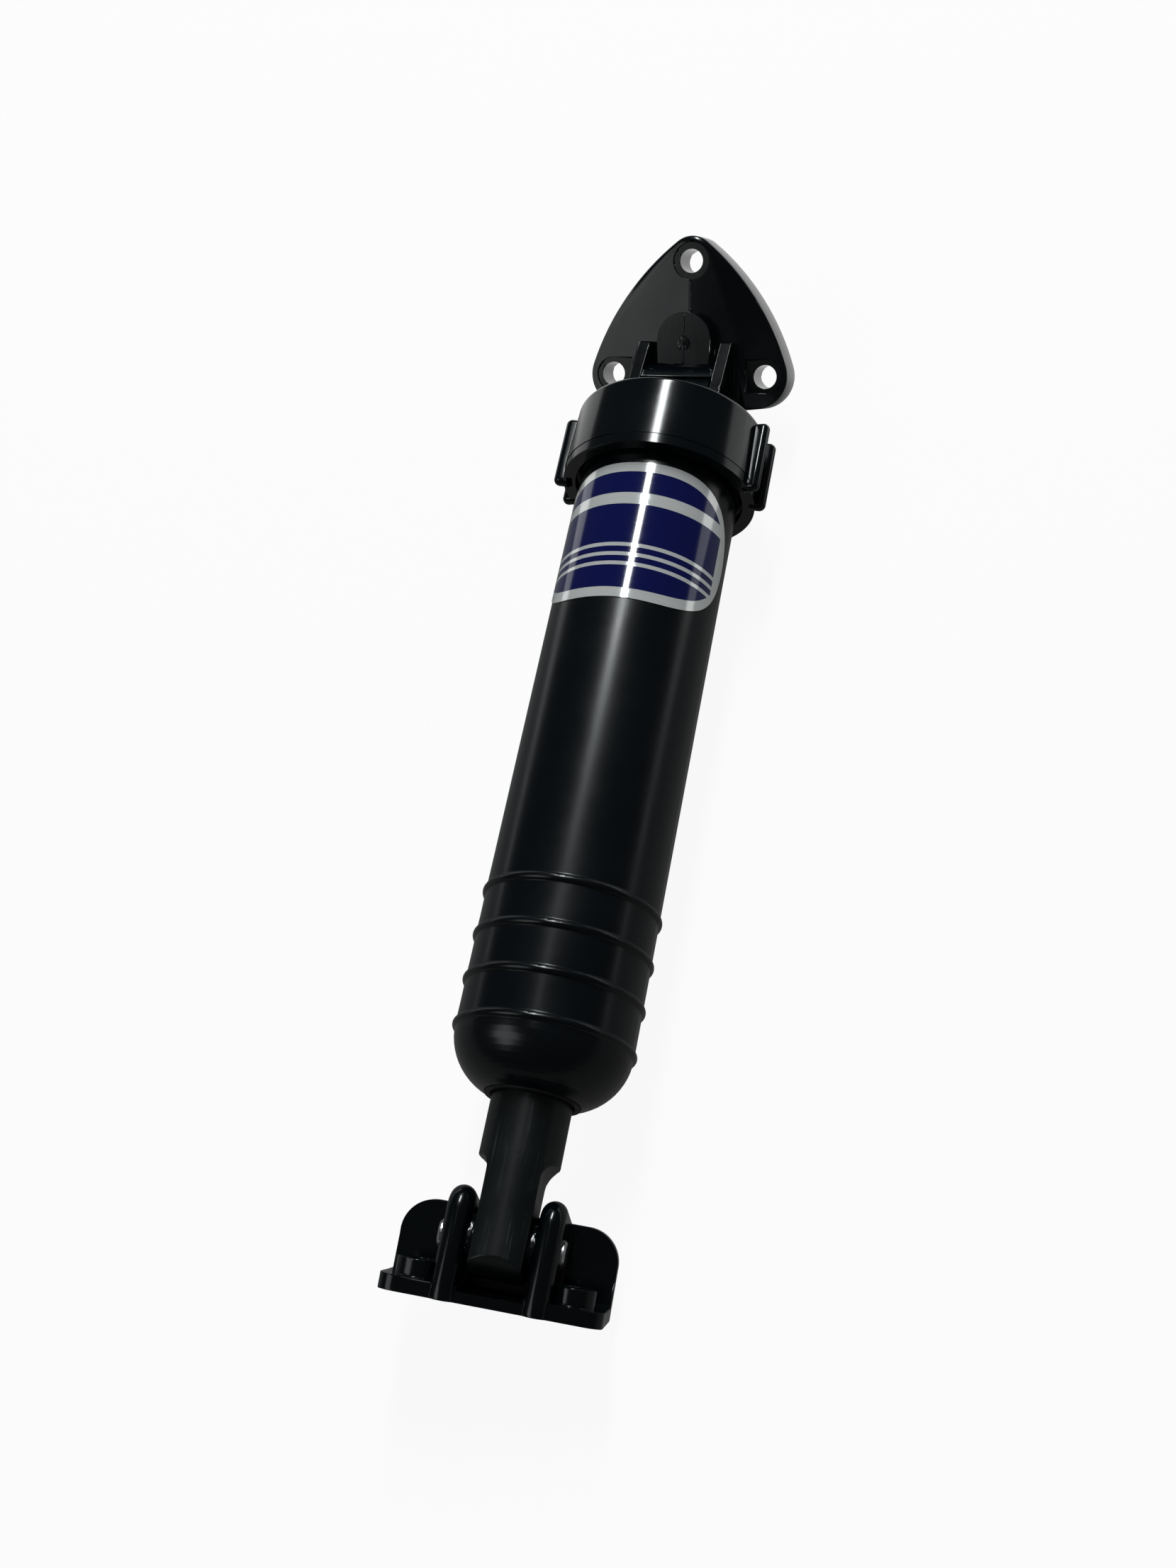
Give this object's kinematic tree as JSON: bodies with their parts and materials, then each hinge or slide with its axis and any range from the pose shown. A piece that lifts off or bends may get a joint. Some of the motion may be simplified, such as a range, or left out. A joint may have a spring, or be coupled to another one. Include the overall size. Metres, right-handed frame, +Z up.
{
  "type": "trim tab actuator",
  "caption": "Slim hydraulic actuator for a boat's trim tab: a ribbed barrel with a cap nut, a triangular hinge plate at one end and a ram with a bracket at the other.",
  "frame": {"origin": "middle of the lying part's bounding box, on the surface that it lies on", "axes": "+Y along the barrel towards the hinge plate for the transom, +Z up and out of the label, +X across along the hinge plate's pin"},
  "size_m": [0.0546, 0.2808, 0.0495],
  "materials": {
    "barrel_plastic": "polished",
    "collar_plastic": "polished",
    "hinge_plastic": "satin",
    "ram_plastic": "satin",
    "piston_plastic": "matt",
    "sleeve_plastic": "matt",
    "seal_rubber": "matt",
    "stainless": "brushed",
    "spring_wire": "drawn",
    "foil": "satin"
  },
  "bodies": {
    "barrel": {"barrel": "barrel_plastic", "collar": "collar_plastic", "cylinder_head": "collar_plastic", "head_seal_ring": "seal_rubber", "rod_bushing": "sleeve_plastic", "rod_seal": "seal_rubber", "wiper": "seal_rubber", "label_foil": "foil", "return_spring": "spring_wire"},
    "upper_hinge": {"upper_hinge": "hinge_plastic", "upper_pin": "stainless", "pin_seal_ring_left": "seal_rubber", "pin_seal_ring_right": "seal_rubber"},
    "piston_pack": {"piston_cup": "seal_rubber", "wear_ring": "sleeve_plastic", "spring_seat": "stainless"},
    "ram": {"ram": "ram_plastic", "piston": "piston_plastic", "piston_washer": "stainless", "piston_screw": "stainless"},
    "lower_hinge": {"lower_hinge": "hinge_plastic", "lower_pin": "stainless"}
  },
  "joints": [
    {"name": "upper_pivot", "type": "hinge", "parent": "barrel", "child": "upper_hinge", "pos_m": [0.00033, 0.09363, 0.02475], "axis": [1, 0, 0], "range_deg": [-50, 45]},
    {"name": "ram_slide", "type": "slide", "parent": "barrel", "child": "piston_pack", "axis": [0, -1, 0], "range_m": [0, 0.057], "stiffness_N_per_m": 1400, "springref_m": -0.03, "deforming": ["return_spring"]},
    {"name": "ram_turn", "type": "hinge", "parent": "piston_pack", "child": "ram", "pos_m": [0.00033, -0.12537, 0.02475], "axis": [0, 1, 0], "continuous": true},
    {"name": "lower_pivot", "type": "hinge", "parent": "ram", "child": "lower_hinge", "pos_m": [0.00033, -0.12537, 0.02475], "axis": [0.9833, 0, -0.1822], "range_deg": [-70, 0]}
  ]
}
